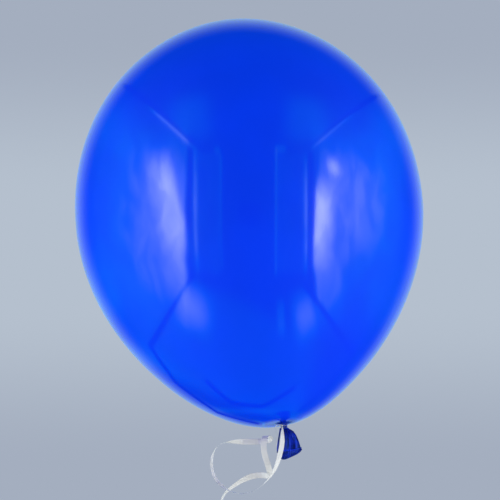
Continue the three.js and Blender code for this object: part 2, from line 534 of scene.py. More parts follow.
def smooth_curve(points: Sequence[Sequence[float]], step: float) -> np.ndarray:
    """Runs a smooth curve through points and spaces it evenly.

    Args:
        points: The route.
        step: The distance between the points of the result.

    Returns:
        The evenly spaced points.
    """
    p = np.array(points, float)
    p = np.vstack([2 * p[0] - p[1], p, 2 * p[-1] - p[-2]])
    dense = []
    for i in range(1, len(p) - 2):
        t = np.linspace(0, 1, 40, endpoint=False)[:, None]
        a, b, c, d = p[i - 1], p[i], p[i + 1], p[i + 2]
        dense.append(0.5 * (2 * b + (c - a) * t + (2 * a - 5 * b + 4 * c - d) * t ** 2
                            + (3 * b - a - 3 * c + d) * t ** 3))
    line = np.vstack([*dense, p[-2:-1]])
    run = np.r_[0, np.cumsum(np.linalg.norm(np.diff(line, axis=0), axis=1))]
    places = np.linspace(0, run[-1], max(2, round(run[-1] / step) + 1))
    return np.stack([np.interp(places, run, line[:, k]) for k in range(3)], axis=1)


def dress(made: bpy.types.Object, finish: bpy.types.Material, body: Body, slot: Slot,
          *nodes: str) -> None:
    """Gives a piece its finish and puts it in the place of the frame's plain solids.

    Args:
        made: The piece.
        finish: Its material.
        body: The body that it moves with.
        slot: The record's slot for the material. It is not used.
        *nodes: The plain solids that it stands for.
    """
    made.data.materials.clear()
    made.data.materials.append(finish)
    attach(made, body.value)
    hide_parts(*nodes)


# ---- the ribbon --------------------------------------------------------------------------


class StripTree:
    """The Geometry Nodes tree that sweeps a flat strip along a line of points.

    The line carries an across_dir attribute: the direction of the strip's width.
    """

    ring_sides = 20

    def __init__(self) -> None:
        """Builds the tree, with Width, Thickness and Finish as named inputs."""
        tree = bpy.data.node_groups.new("strip_along_route", "GeometryNodeTree")
        face = tree.interface
        face.new_socket("Geometry", in_out="INPUT", socket_type="NodeSocketGeometry")
        self.width, self.thickness, self.finish = (
            face.new_socket(name, in_out="INPUT", socket_type=kind).identifier
            for name, kind in (("Width", "NodeSocketFloat"), ("Thickness", "NodeSocketFloat"),
                               ("Finish", "NodeSocketMaterial")))
        face.new_socket("Geometry", in_out="OUTPUT", socket_type="NodeSocketGeometry")
        wiring = Wiring(tree)
        given, result = wiring.add("NodeGroupInput"), wiring.add("NodeGroupOutput")

        line = wiring.add("GeometryNodeMeshToCurve", {"Mesh": given.outputs["Geometry"]})
        facing = wiring.add("GeometryNodeInputNamedAttribute", data_type="FLOAT_VECTOR")
        facing.inputs["Name"].default_value = "across_dir"
        turned = wiring.add("GeometryNodeSetCurveNormal", mode="FREE")
        wiring.feed_all(turned, {"Curve": line.outputs["Curve"],
                                 "Normal": facing.outputs["Attribute"]})

        ring = wiring.add("GeometryNodeCurvePrimitiveCircle", {
            "Resolution": self.ring_sides, "Radius": 1.0})
        spot = wiring.add("GeometryNodeInputPosition")
        parts = wiring.add("ShaderNodeSeparateXYZ", {0: spot.outputs["Position"]})
        across = self._captured(wiring, "Across", ring.outputs["Curve"], parts.outputs[0])
        size = wiring.join("ShaderNodeCombineXYZ",
                           wiring.math("MULTIPLY", given.outputs["Width"], 0.5),
                           wiring.math("MULTIPLY", given.outputs["Thickness"], 0.5), 1.0)
        section = wiring.add("GeometryNodeTransform", {
            "Geometry": across.outputs["Geometry"], "Scale": size})

        run = wiring.add("GeometryNodeSplineParameter")
        along = self._captured(wiring, "Along", turned.outputs["Curve"], run.outputs["Factor"])
        swept = wiring.add("GeometryNodeCurveToMesh", {
            "Curve": along.outputs["Geometry"], "Profile Curve": section.outputs["Geometry"],
            "Fill Caps": True})
        geometry = swept.outputs["Mesh"]
        for name, source in (("across", across.outputs[1]), ("along", along.outputs[1])):
            store = wiring.add("GeometryNodeStoreNamedAttribute", data_type="FLOAT", domain="POINT")
            wiring.feed_all(store, {"Name": name, "Geometry": geometry, "Value": source})
            geometry = store.outputs["Geometry"]
        real = wiring.add("GeometryNodeRealizeInstances", {"Geometry": geometry})
        dressed = wiring.add("GeometryNodeSetMaterial", {
            "Geometry": real.outputs["Geometry"], "Material": given.outputs["Finish"]})
        wiring.feed(result.inputs["Geometry"], dressed.outputs["Geometry"])
        self.tree = tree

    @staticmethod
    def _captured(wiring: Wiring, name: str, curve: bpy.types.NodeSocket,
                  value: bpy.types.NodeSocket) -> bpy.types.Node:
        """Returns a node that keeps a value at each point of a curve."""
        node = wiring.add("GeometryNodeCaptureAttribute")
        node.capture_items.new("FLOAT", name)
        wiring.feed_all(node, {"Geometry": curve, 1: value})
        return node

    def sweep(self, name: str, line: np.ndarray, across: np.ndarray, width: float,
              thickness: float, finish: bpy.types.Material) -> bpy.types.Object:
        """Sweeps one strip.

        Args:
            name: The new object's name.
            line: The points that it follows.
            across: The direction of its width at each point.
            width: Its width.
            thickness: Its thickness.
            finish: Its material.

        Returns:
            The strip, as a plain mesh.
        """
        mesh = bpy.data.meshes.new(name)
        mesh.from_pydata(line.tolist(), [(i, i + 1) for i in range(len(line) - 1)], [])
        facing = mesh.attributes.new("across_dir", "FLOAT_VECTOR", "POINT")
        facing.data.foreach_set("vector", across.astype(np.float32).ravel())
        made = bpy.data.objects.new(name, mesh)
        bpy.context.scene.collection.objects.link(made)
        modifier = made.modifiers.new("strip", "NODES")
        modifier.node_group = self.tree
        modifier[self.width] = width
        modifier[self.thickness] = thickness
        modifier[self.finish] = finish
        bake_modifiers(made)
        made.data.polygons.foreach_set("use_smooth", [True] * len(made.data.polygons))
        return made


@dataclass
class Ribbon:
    """The curling ribbon: its turns round the neck, its knot, its cut end and its fall.

    The fall's route and the ringlets' sizes are those of the frame's plain solids.
    """

    strip: StripTree
    finish: bpy.types.Material
    width: float = 5 * MM
    thickness: float = 0.16 * MM
    ringlet_axis: tuple[float, float] = (-38.5 * MM, 0.5 * MM)
    ringlet_radius: float = 25 * MM
    ringlet_turns: float = 5.6
    ringlet_pitch: float = 15 * MM
    ringlet_start: float = -66.5 * MM
    ringlet_steps: int = 20           # points in each turn
    ringlet_looseness: float = 0.03   # how unevenly the turns lie, over their radius
    settle_drop: float = 9 * MM
    settle_angle: float = 0.6
    fall_step: float = 1.1 * MM
    wrap_turns: float = 2.6
    wrap_radius: float = 2.26 * MM
    wrap_strip: tuple[float, float] = (0.34 * MM, 0.24 * MM)    # the bunched strip's two sides
    knot_strip: tuple[float, float] = (0.6 * MM, 0.3 * MM)
    knot_size: float = 0.34           # over half of the frame's knot
    tag_width: float = 3.8 * MM
    route: list[Point] = field(default_factory=lambda: [
        (-1.3, -6.0, -2.8), (-1.8, -8.5, -8.1), (-2.7, -10.0, -13.8), (-4.4, -11.0, -20.4),
        (-6.5, -12.0, -26.5), (-9.0, -12.5, -32.6), (-12.8, -12.5, -39.5), (-19.8, -12.0, -47.1),
        (-28.0, -11.0, -52.5), (-36.3, -9.0, -54.7), (-44.3, -6.5, -53.9), (-51.9, -4.0, -50.2),
        (-57.8, -1.5, -44.7), (-62.5, 0.5, -37.1), (-64.3, 2.0, -28.4), (-63.6, 3.0, -20.6),
        (-60.8, 4.0, -13.6), (-56.1, 6.5, -8.5), (-50.0, 10.0, -6.2), (-42.6, 14.0, -5.9),
        (-34.3, 17.0, -6.3), (-26.4, 18.5, -7.0), (-19.2, 17.5, -7.5), (-14.2, 14.0, -7.7),
        (-12.7, 8.5, -7.5), (-13.9, 3.0, -7.1), (-16.0, -2.0, -7.2), (-17.6, -5.6, -10.3),
        (-18.8, -7.0, -15.1), (-19.1, -7.5, -20.6), (-18.4, -7.0, -26.6), (-17.2, -6.0, -32.6),
        (-16.5, -3.0, -36.9), (-16.6, 1.5, -39.2), (-18.2, 6.5, -39.5), (-22.3, 9.5, -38.2),
        (-27.9, 11.0, -37.4), (-34.1, 11.5, -38.1), (-41.7, 11.0, -40.9), (-48.9, 10.5, -44.7),
        (-54.8, 9.5, -48.8), (-58.7, 7.5, -54.2), (-62.5, 4.5, -63.0), (-63.5, 0.5, -66.5),
    ])
    # How much of the strip's width faces the front, at some of the route's points.
    facing: dict[int, float] = field(default_factory=lambda: {
        0: 0.3, 1: 0.5, 2: 0.78, 3: 0.86, 4: 0.86, 5: 0.72, 6: 0.55, 7: 0.2, 8: 0.04, 9: 0.0,
        10: 0.0, 11: 0.0, 12: 0.42, 13: 0.46, 14: 0.46, 15: 0.42, 16: 0.24, 17: 0.0, 18: 0.2,
        19: 0.75, 20: 1.0, 21: 1.0, 22: 0.8, 38: 0.8, 39: 0.62, 40: 0.44, 41: 0.36, 42: 0.34,
        43: 0.34})
    # Roughly which way the width lies where each of those two stretches starts.
    stretch_starts: dict[int, Point] = field(default_factory=lambda: {
        0: (0.45, 0.9, 0.0), 38: (0.1, 0.75, -0.65)})
    # Which way the width lies round the inner turn, between those stretches.
    inner_turn: dict[int, Point] = field(default_factory=lambda: {
        23: (0.6, -0.3, -0.7), 24: (0.95, -0.1, -0.2), 25: (1.0, 0.0, 0.0), 27: (1.0, 0.0, 0.0),
        29: (1.0, 0.0, 0.0), 32: (1.0, 0.1, -0.1), 33: (0.9, 0.1, -0.4), 34: (0.5, 0.0, -0.9),
        36: (0.0, 0.0, -1.0)})

    def width_directions(self, route: np.ndarray) -> np.ndarray:
        """Works out which way the strip's width lies along the route.

        Args:
            route: The route's points.

        Returns:
            A direction at each point.
        """
        tilt = math.radians(FRONT_ELEVATION)
        into = np.array([0.0, math.cos(tilt), -math.sin(tilt)])
        lie = dict(self.inner_turn)
        near = np.zeros(3)
        for number, share in sorted(self.facing.items()):
            along = route[min(number + 1, len(route) - 1)] - route[max(number - 1, 0)]
            along /= np.linalg.norm(along)
            edge_on = into - (into @ along) * along
            edge_on /= np.linalg.norm(edge_on)
            flat_on = np.cross(along, edge_on)
            hidden = math.sqrt(1 - share * share)
            ways = [one * hidden * edge_on + other * share * flat_on
                    for one in (1, -1) for other in (1, -1)]
            near = np.array(self.stretch_starts.get(number, near))
            near = ways[int(np.argmax([way @ near for way in ways]))]
            lie[number] = near
        marks = sorted(lie)
        return np.stack([np.interp(range(len(route)), marks, [lie[m][k] for m in marks])
                         for k in range(3)], axis=1)

    def fall_line(self) -> tuple[np.ndarray, np.ndarray]:
        """Lays out the free ribbon from the knot to its cut end.

        Returns:
            Its points, and the direction of its width at each.
        """
        route = np.array(self.route) * MM
        turns = []
        for i in range(1, round(self.ringlet_turns * self.ringlet_steps) + 1):
            angle = i / self.ringlet_steps * math.tau
            drop = self.ringlet_pitch * angle / math.tau
            drop += self.settle_drop * (1 - math.exp(-angle / self.settle_angle))
            reach = self.ringlet_radius * (1 + self.ringlet_looseness * math.sin(2.3 * angle))
            turns.append((self.ringlet_axis[0] - reach * math.cos(angle),
                          self.ringlet_axis[1] - reach * math.sin(angle),
                          self.ringlet_start - drop))
        knots = np.vstack([route, np.array(turns)])
        down = np.tile([0.0, 0.0, -1.0], (len(turns), 1))
        hints = np.vstack([self.width_directions(route), down])
        line = smooth_curve(knots, self.fall_step)
        reach = np.r_[0, np.cumsum(np.linalg.norm(np.diff(knots, axis=0), axis=1))]
        run = np.linspace(0, reach[-1], len(line))
        across = np.stack([np.interp(run, reach, hints[:, k]) for k in range(3)], axis=1)
        along = np.gradient(line, axis=0)
        along /= np.linalg.norm(along, axis=1)[:, None]
        across -= np.sum(across * along, axis=1)[:, None] * along
        return line, across / np.linalg.norm(across, axis=1)[:, None]

    def build_fall(self) -> bpy.types.Object:
        """Returns:
            The ribbon.
        """
        line, across = self.fall_line()
        made = self.strip.sweep("ribbon_fall_strip", line, across, self.width, self.thickness,
                                self.finish)
        dress(made, self.finish, Body.FALL, Slot.RIBBON, "ribbon_curl", "ribbon_ringlet")
        return made

    def build_wrap(self) -> bpy.types.Object:
        """Builds the turns pulled tight round the neck, where the strip bunches up.

        Returns:
            The turns.
        """
        low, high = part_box("ribbon_wrap")
        count = round(self.wrap_turns * 40)
        line, across = [], []
        for i in range(count + 1):
            share = i / count
            angle = -math.pi / 2 + share * self.wrap_turns * math.tau
            radius = self.wrap_radius + 0.05 * MM * math.sin(7 * angle)
            height = low.z + (high.z - low.z) * (0.40 + 0.14 * share)
            line.append((radius * math.cos(angle), radius * math.sin(angle), height))
            lean = 0.25 * math.sin(3 * angle)
            across.append((lean * math.cos(angle), lean * math.sin(angle), 1.0))
        made = self.strip.sweep("ribbon_turns", np.array(line), np.array(across),
                                *self.wrap_strip, self.finish)
        dress(made, self.finish, Body.TIE, Slot.RIBBON, "ribbon_wrap")
        return made

    def build_knot(self) -> bpy.types.Object:
        """Builds the ribbon's small knot in front of the neck.

        Returns:
            The knot.
        """
        low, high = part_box("ribbon_knot")
        centre, half = (low + high) / 2, (high - low) / 2
        line, across = [], []
        count = 150
        for i in range(count + 1):
            t = i / count * math.tau * 0.97
            shape = Vector((math.sin(t) + 2 * math.sin(2 * t), -math.sin(3 * t) * 1.6,
                            math.cos(t) - 2 * math.cos(2 * t))) / 3
            line.append([centre[k] + self.knot_size * half[k] * shape[k] for k in range(3)])
            across.append((math.cos(t), 0.6, math.sin(t)))
        made = self.strip.sweep("ribbon_tie_knot", np.array(line), np.array(across),
                                *self.knot_strip, self.finish)
        dress(made, self.finish, Body.TIE, Slot.RIBBON, "ribbon_knot")
        return made

    def build_tag(self) -> bpy.types.Object:
        """Builds the short cut end that stands out beside the knot.

        Returns:
            The cut end.
        """
        low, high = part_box("ribbon_tag_end")
        knot_low, knot_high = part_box("ribbon_knot")
        middle = (low.y + high.y) / 2
        route = [(knot_low.x + 1.0 * MM, (knot_low.y + knot_high.y) / 2, high.z - 0.5 * MM),
                 (-4.2 * MM, middle - 0.2 * MM, high.z - 0.15 * MM),
                 (-6.0 * MM, middle, high.z - 0.25 * MM), (-7.3 * MM, middle, -1.2 * MM),
                 (-7.5 * MM, middle, -4.0 * MM), (-7.6 * MM, middle, -9.0 * MM),
                 (-8.3 * MM, middle, low.z + 0.2 * MM)]
        line = smooth_curve(route, 0.4 * MM)
        across = np.tile([0.04, 1.0, 0.0], (len(line), 1))
        made = self.strip.sweep("ribbon_cut_end", line, across, self.tag_width, self.thickness,
                                self.finish)
        dress(made, self.finish, Body.TIE, Slot.RIBBON, "ribbon_tag_end")
        return made

    def build(self) -> list[bpy.types.Object]:
        """Builds the whole ribbon.

        Returns:
            Its pieces.
        """
        pieces = [self.build_fall(), self.build_wrap(), self.build_knot(), self.build_tag()]
        for piece in pieces:
            piece.visible_glossy = False  # the skin's gloss stays plain
        return pieces


# ---- the balloon -------------------------------------------------------------------------


@dataclass
class Skin:
    """The inflated skin and the gathered throat that it is drawn into."""

    low: Vector
    high: Vector
    equator_share: float = 0.5214     # height of the equator over the skin's height
    shoulder: float = 0.6667          # how far the side stays upright above the equator
    crown_fullness: float = 0.4157    # how far the crown stays level, over the radius
    hip: float = 0.5564               # how far the side stays upright below the equator
    base_fullness: float = 0.362      # how far the underside stays level, over the radius
    throat_radius: float = 7 * MM
    neck_reach: float = 90 * MM
    sag_reach: float = 95 * MM
    sag_start: tuple[float, float] = (7 * MM, 20 * MM)
    sag: float = 0.35 * MM
    sag_tilt: float = 0.085          # more sag on the left than on the right
    wall: float = 0.3 * MM
    sides: int = 224
    rows: int = 88
    pleats: int = 15

    def __post_init__(self) -> None:
        """Works out the driving sizes from the frame's skin."""
        self.radius = (self.high.x - self.low.x) / 2
        self.axis_x = (self.high.x + self.low.x) / 2
        self.throat_z = self.low.z
        height = self.high.z - self.low.z
        self.equator_z = self.low.z + self.equator_share * height
        self.rise = self.high.z - self.equator_z
        self.drop = self.equator_z - self.low.z

    def outline(self, inset: float) -> list[tuple[float, float]]:
        """Draws the outline from the throat to the crown.

        Args:
            inset: How far inside the outer face it lies.

        Returns:
            Radius and height of each point.
        """
        base = ((self.throat_radius, self.throat_z),
                (self.base_fullness * self.radius, self.throat_z),
                (self.radius, self.equator_z - self.hip * self.drop),
                (self.radius, self.equator_z))
        dome = ((self.radius, self.equator_z),
                (self.radius, self.equator_z + self.shoulder * self.rise),
                (self.crown_fullness * self.radius, self.equator_z + self.rise),
                (0.0, self.equator_z + self.rise))
        points = []
        for curve, first in ((base, 0), (dome, 1)):
            (x0, z0), (x1, z1), (x2, z2), (x3, z3) = curve
            for i in range(first, self.rows + 1):
                t = i / self.rows
                s = 1 - t
                x = s ** 3 * x0 + 3 * s * s * t * x1 + 3 * s * t * t * x2 + t ** 3 * x3
                z = s ** 3 * z0 + 3 * s * s * t * z1 + 3 * s * t * t * z2 + t ** 3 * z3
                dx = s * s * (x1 - x0) + 2 * s * t * (x2 - x1) + t * t * (x3 - x2)
                dz = s * s * (z1 - z0) + 2 * s * t * (z2 - z1) + t * t * (z3 - z2)
                size = math.hypot(dx, dz)
                points.append((max(0.0, x - inset * dz / size), z + inset * dx / size))
        points[-1] = (0.0, points[-1][1])
        return points

    def settle(self, x: float, y: float, z: float) -> Point:
        """Draws a point of the underside towards the neck, which sits off the middle.

        Args:
            x: The point's place across, from the skin's middle.
            y: Its place in depth.
            z: Its height.

        Returns:
            The point in the frame.
        """
        distance = math.hypot(x, y)
        low = z < self.equator_z / 2

        def fading(reach: float) -> float:
            """Returns how strongly something acts here, down to 0 at its reach."""
            return (1 - (distance / reach) ** 2) ** 2 if low and distance < reach else 0.0

        begun = (distance - self.sag_start[0]) / (self.sag_start[1] - self.sag_start[0])
        begun = min(1.0, max(0.0, begun))
        begun = begun * begun * (3 - 2 * begun)
        sag = begun * fading(self.sag_reach) * (self.sag - self.sag_tilt * x)
        return x + self.axis_x * (1 - fading(self.neck_reach)), y, z - sag

    def build_skin(self, finish: bpy.types.Material) -> bpy.types.Object:
        """Builds the inflated skin, with its inner face and the bore at the throat.

        Args:
            finish: The stretched latex.

        Returns:
            The skin.
        """
        profile = self.outline(0.0)
        inner = self.outline(self.wall)[::-1]
        mouth = 1.6 * MM
        start = [(mouth, self.throat_z), (4.2 * MM, self.throat_z)]
        end = [(4.2 * MM, self.throat_z + self.wall), (mouth, self.throat_z + self.wall)]
        profile = start + profile + inner + end
        vertices = []
        for radius, height in profile:
            for j in range(self.sides):
                angle = j / self.sides * math.tau
                vertices.append(self.settle(radius * math.cos(angle), radius * math.sin(angle),
                                            height))
        faces = grid_faces(len(profile), self.sides, close_rows=True)
        made = make_object("balloon_skin", vertices, faces)
        tidy_mesh(made)
        dress(made, finish, Body.BALLOON, Slot.STRETCHED, "envelope")
        return made

    def build_throat(self, finish: bpy.types.Material) -> bpy.types.Object:
        """Builds the pleated throat, from the waist up to where it spreads into the skin.

        Args:
            finish: The stretched latex, which is dark here.

        Returns:
            The throat.
        """
        low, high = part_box("neck_gather")
        waist = 2.1 * MM
        proud = 0.12 * MM
        profile = [(2.3 * MM, low.z), (2.75 * MM, -0.55 * MM), (2.62 * MM, -0.3 * MM),
                   (waist, -0.14 * MM), (waist, 0.14 * MM), (2.6 * MM, 0.32 * MM),
                   (2.8 * MM, 0.7 * MM), (2.95 * MM, 1.2 * MM), (3.5 * MM, 1.8 * MM),
                   (4.6 * MM, self.throat_z - 0.55 * MM), (6.0 * MM, self.throat_z - 0.16 * MM),
                   (7.6 * MM, self.throat_z + 0.06 * MM), (9.2 * MM, self.throat_z + 0.34 * MM),
                   (10.4 * MM, self.throat_z + 0.62 * MM)]
        fine = smooth_curve([(r, 0.0, z) for r, z in profile], 0.28 * MM)
        rows = [(p[0], p[2]) for p in fine]
        sides = 180
        vertices = []
        for radius, height in rows:
            depth = 0.34 * MM * math.exp(-max(0.0, radius - waist) / (2.6 * MM))
            for j in range(sides):
                angle = j / sides * math.tau
                fold = math.cos(self.pleats * angle + 1.3 * math.sin(3 * angle))
                reach = radius + depth * fold * 0.55
                vertices.append((reach * math.cos(angle), reach * math.sin(angle),
                                 height - proud - depth * fold * (radius > 2.4 * MM)))
        top = len(vertices)
        vertices.append((0, 0, self.throat_z + 0.05 * MM))
        bottom = len(vertices)
        vertices.append((0, 0, low.z))
        faces = [tuple(f) for f in grid_faces(len(rows), sides)]
        last = (len(rows) - 1) * sides
        faces += [(last + j, last + (j + 1) % sides, top) for j in range(sides)]
        faces += [((j + 1) % sides, j, bottom) for j in range(sides)]
        made = make_object("neck_throat", vertices, faces)
        tidy_mesh(made)
        dress(made, finish, Body.BALLOON, Slot.SLACK, "neck_gather")
        return made

    def build(self, finish: bpy.types.Material) -> list[bpy.types.Object]:
        """Builds the skin and its throat, in the stretched latex."""
        return [self.build_skin(finish), self.build_throat(finish)]


@dataclass
class Tail:
    """The knot in the neck and the free, flattened end of the sleeve beyond it.

    The two edges are listed down the sleeve as (across, height), in millimetres.
    """

    finish: bpy.types.Material
    right_edge: tuple[tuple[float, float], ...] = (
        (3.9, -2.7), (7.5, -5.4), (9.4, -9.0), (10.7, -13.2), (11.6, -17.6), (12.2, -22.0))
    left_edge: tuple[tuple[float, float], ...] = (
        (-0.6, -3.2), (-0.9, -8.0), (-1.3, -13.0), (-2.0, -18.0), (-3.4, -22.8), (-5.0, -27.4))
    mouth_bow: float = 2.1            # how far the mouth bows below the line of its corners
    pleat_depth: float = 1.25
    columns: int = 192
    rows: int = 76
    wall: float = 0.45
    lip_start: tuple[float, float] = (0.67, 0.90)   # share down the sleeve, left and right
    lip_ribs: int = 32

    def loop(self, shares: Callable[[float], float], proud: float = 0.0) -> list[Point]:
        """Lays out one closed loop round the flattened sleeve.

        Args:
            shares: Gives how far down the sleeve the loop lies, from 0 at the knot to 1 at
                the mouth, for a place across it from -1 to 1.
            proud: How far outside the sleeve's own face, in millimetres.

        Returns:
            The loop's points, in metres.
        """
        points = []
        stations = np.linspace(0, 1, len(self.right_edge))
        for j in range(self.columns):
            angle = j / self.columns * math.tau
            side = math.cos(angle)
            share = shares(side)
            left, right = ([float(np.interp(share, stations, [point[k] for point in edge]))
                            for k in (0, 1)] for edge in (self.left_edge, self.right_edge))
            half = (right[0] - left[0]) / 2
            reach = side * (1 + proud / half)
            x = (right[0] + left[0]) / 2 + half * reach
            z = (right[1] + left[1]) / 2 + (right[1] - left[1]) / 2 * reach
            z -= self.mouth_bow * share ** 2 * (1 - side ** 4) + 0.25 * proud * (share > 1)
            flat = max(0.0, 1 - share)
            fold = (0.12 + self.pleat_depth * flat ** 1.1 * min(1.0, 6 * share + 0.15)) * 0.62
            depth = 0.7 + 1.2 * math.sin(math.pi * min(1.0, max(0.0, share)) ** 0.85) + 0.5 * share
            y = (depth + proud) * math.sin(angle) * (1 - 0.3 * side * side)
            y += fold * self.pleats(side) - 1.3 * share * math.cos(1.9 * side) - 0.5 * side * share
            points.append((x * MM, y * MM, z * MM))
        return points

    @staticmethod
    def pleats(side: float) -> float:
        """Returns how proud the pleats stand at a place across the sleeve, -1.5 to 1.5."""
        return math.sin(8.2 * side + 0.6) + 0.5 * math.sin(15.5 * side + 2.1)

    def build_sleeve(self) -> bpy.types.Object:
        """Builds the flattened sleeve, open at its mouth.

        Returns:
            The sleeve.
        """
        vertices, highlight_shares = [], []
        sides = [math.cos(j / self.columns * math.tau) for j in range(self.columns)]
        for i in range(self.rows + 1):
            share = i / self.rows
            vertices += self.loop(lambda side, share=share: share)
            # painted highlight along the pleats, fading down the sleeve and gone at both of its edges
            highlight_shares += [(0.4 + 0.3 * (1 - 0.6 * share) * self.pleats(0.9 * side + 0.5 * share * share))
                       * (1 - side ** 6) for side in sides]
        made = make_object("neck_sleeve", vertices, grid_faces(self.rows + 1, self.columns))
        paint_highlights(made, highlight_shares)
        tidy_mesh(made)
        thick = made.modifiers.new("wall", "SOLIDIFY")
        thick.thickness = self.wall * MM
        thick.offset = -1.0
        bake_modifiers(made)
        dress(made, self.finish, Body.TAIL, Slot.SLACK, "neck_tail")
        return made

    def build_lip(self) -> bpy.types.Object:
        """Builds the rolled band round the mouth, with its bead and its upper edge.

        Returns:
            The band.
        """
        profile = ((-0.3, 0.03), (0.3, 0.0), (0.85, 0.03), (0.95, 0.1), (0.6, 0.2), (0.42, 0.35),
                   (0.42, 0.55), (0.5, 0.75), (0.72, 0.9), (0.78, 1.0), (0.55, 1.07), (0.1, 1.09),
                   (-0.4, 1.04), (-0.55, 0.9), (-0.5, 0.5))
        low, high = self.lip_start
        vertices, highlight_shares = [], []
        for proud, down in profile:
            def place(side: float, down: float = down) -> float:
                """Returns how far down the sleeve this row of the band lies."""
                start = (low + high) / 2 + (high - low) / 2 * side
                return start + (1.0 - start) * down

            for j, (x, y, z) in enumerate(self.loop(place, proud)):
                rib = math.sin(self.lip_ribs * j / self.columns * math.tau)
                ruffle = 0.26 * rib * (proud > 0.2) * (0.15 < down < 1.0)
                front = math.copysign(1.0, math.sin(j / self.columns * math.tau))
                vertices.append((x, y + ruffle * front * MM, z))
                # painted highlight on the ribs and on the band's upper edge; the bead's lowest rows get
                # less of it, so they stay darker
                edge = 0.5 * (proud > 0.7 and down < 0.5)
                highlight_shares.append(max(0.0, 0.3 + 0.3 * rib + edge - 0.3 * (down > 0.85)))
        faces = grid_faces(len(profile), self.columns, close_rows=True)
        made = make_object("rolled_lip_band", vertices, faces)
        paint_highlights(made, highlight_shares)
        tidy_mesh(made)
        smooth = made.modifiers.new("round", "SUBSURF")
        smooth.levels = smooth.render_levels = 1
        bake_modifiers(made)
        dress(made, self.finish, Body.TAIL, Slot.SLACK, "rolled_lip")
        return made

    def build_fold(self) -> bpy.types.Object:
        """Builds the fold of the sleeve that stands edge on at its left side.

        Returns:
            The fold.
        """
        rows, columns = 44, 12
        vertices = []
        for i in range(rows + 1):
            share = i / rows
            x = -3.3 - 6.2 * share + 1.4 * share * share
            z = -1.5 - 20.2 * share
            width = 1.4 + 3.4 * math.sin(math.pi * min(1.0, 0.12 + 0.86 * share))
            for j in range(columns + 1):
                across = j / columns
                curl = 0.35 * math.sin(math.pi * across) + 0.12 * math.sin(5 * share + 6 * across)
                vertices.append(((x + curl) * MM, (-0.7 + width * across) * MM,
                                 (z - 0.6 * across * share) * MM))
        faces = grid_faces(rows + 1, columns + 1, close_columns=False)
        made = make_object("neck_edge_fold", vertices, faces)
        tidy_mesh(made)
        thick = made.modifiers.new("wall", "SOLIDIFY")
        thick.thickness = 1.15 * MM
        thick.offset = 0.0
        round_off = made.modifiers.new("round", "SUBSURF")
        round_off.levels = round_off.render_levels = 1
        bake_modifiers(made)
        dress(made, self.finish, Body.TAIL, Slot.SLACK, "neck_fold")
        return made

    def build_knot(self) -> bpy.types.Object:
        """Builds the overhand knot, as one soft lump of crossed rolls of rubber.

        Returns:
            The knot.
        """
        low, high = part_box("neck_knot")
        centre, half = (low + high) / 2, (high - low) / 2
        steps, around = 150, 20
        vertices = []
        spine = []
        for i in range(steps):
            t = i / steps * math.tau
            shape = Vector((math.sin(t) + 2 * math.sin(2 * t), math.cos(t) - 2 * math.cos(2 * t),
                            -math.sin(3 * t) * 1.3)) / 3
            spine.append(centre + Vector([0.78 * half[k] * shape[k] for k in range(3)]))
        for i, place in enumerate(spine):
            along = (spine[(i + 1) % steps] - spine[i - 1]).normalized()
            side = along.cross(Vector((0, 0, 1))).normalized()
            up = side.cross(along)
            for j in range(around):
                angle = j / around * math.tau
                radius = 0.72 * MM * (1 + 0.12 * math.cos(4 * angle))
                vertices.append(place + radius * (math.cos(angle) * side * 1.25
                                                  + math.sin(angle) * up))
        made = make_object("neck_overhand_knot", vertices,
                           grid_faces(steps, around, close_rows=True))
        tidy_mesh(made)
        melt = made.modifiers.new("melt", "REMESH")
        melt.mode = "VOXEL"
        melt.voxel_size = 0.11 * MM
        ease = made.modifiers.new("ease", "SMOOTH")
        ease.factor = 0.5
        ease.iterations = 4
        bake_modifiers(made)
        made.data.polygons.foreach_set("use_smooth", [True] * len(made.data.polygons))
        # an even share of painted highlight, lightening the whole knot alike
        paint_highlights(made, [0.45] * len(made.data.vertices))
        dress(made, self.finish, Body.BALLOON, Slot.SLACK, "neck_knot")
        return made

    def build(self) -> list[bpy.types.Object]:
        """Builds the knot, sleeve, lip and fold."""
        return [self.build_knot(), self.build_sleeve(), self.build_lip(), self.build_fold()]


# ---- the studio --------------------------------------------------------------------------


@dataclass(frozen=True)
class Lamp:
    """One soft light, as it lies on a mirror ball of radius 1 seen from the front.

    Its middle line runs from start to end. Left and right are the widths over which its two
    long edges fade, and ends is the length over which its ends do. A dark line is a lamp of
    negative strength.
    """

    start: Spot
    end: Spot
    half_width: float
    left: float
    right: float
    ends: float
    strength: float


def chain(spots: Sequence[Spot], *shape: float) -> tuple[Lamp, ...]:
    """Returns a lamp from each spot to the next, all with the same sizes and strength."""
    return tuple(Lamp(start, end, *shape) for start, end in zip(spots, spots[1:]))


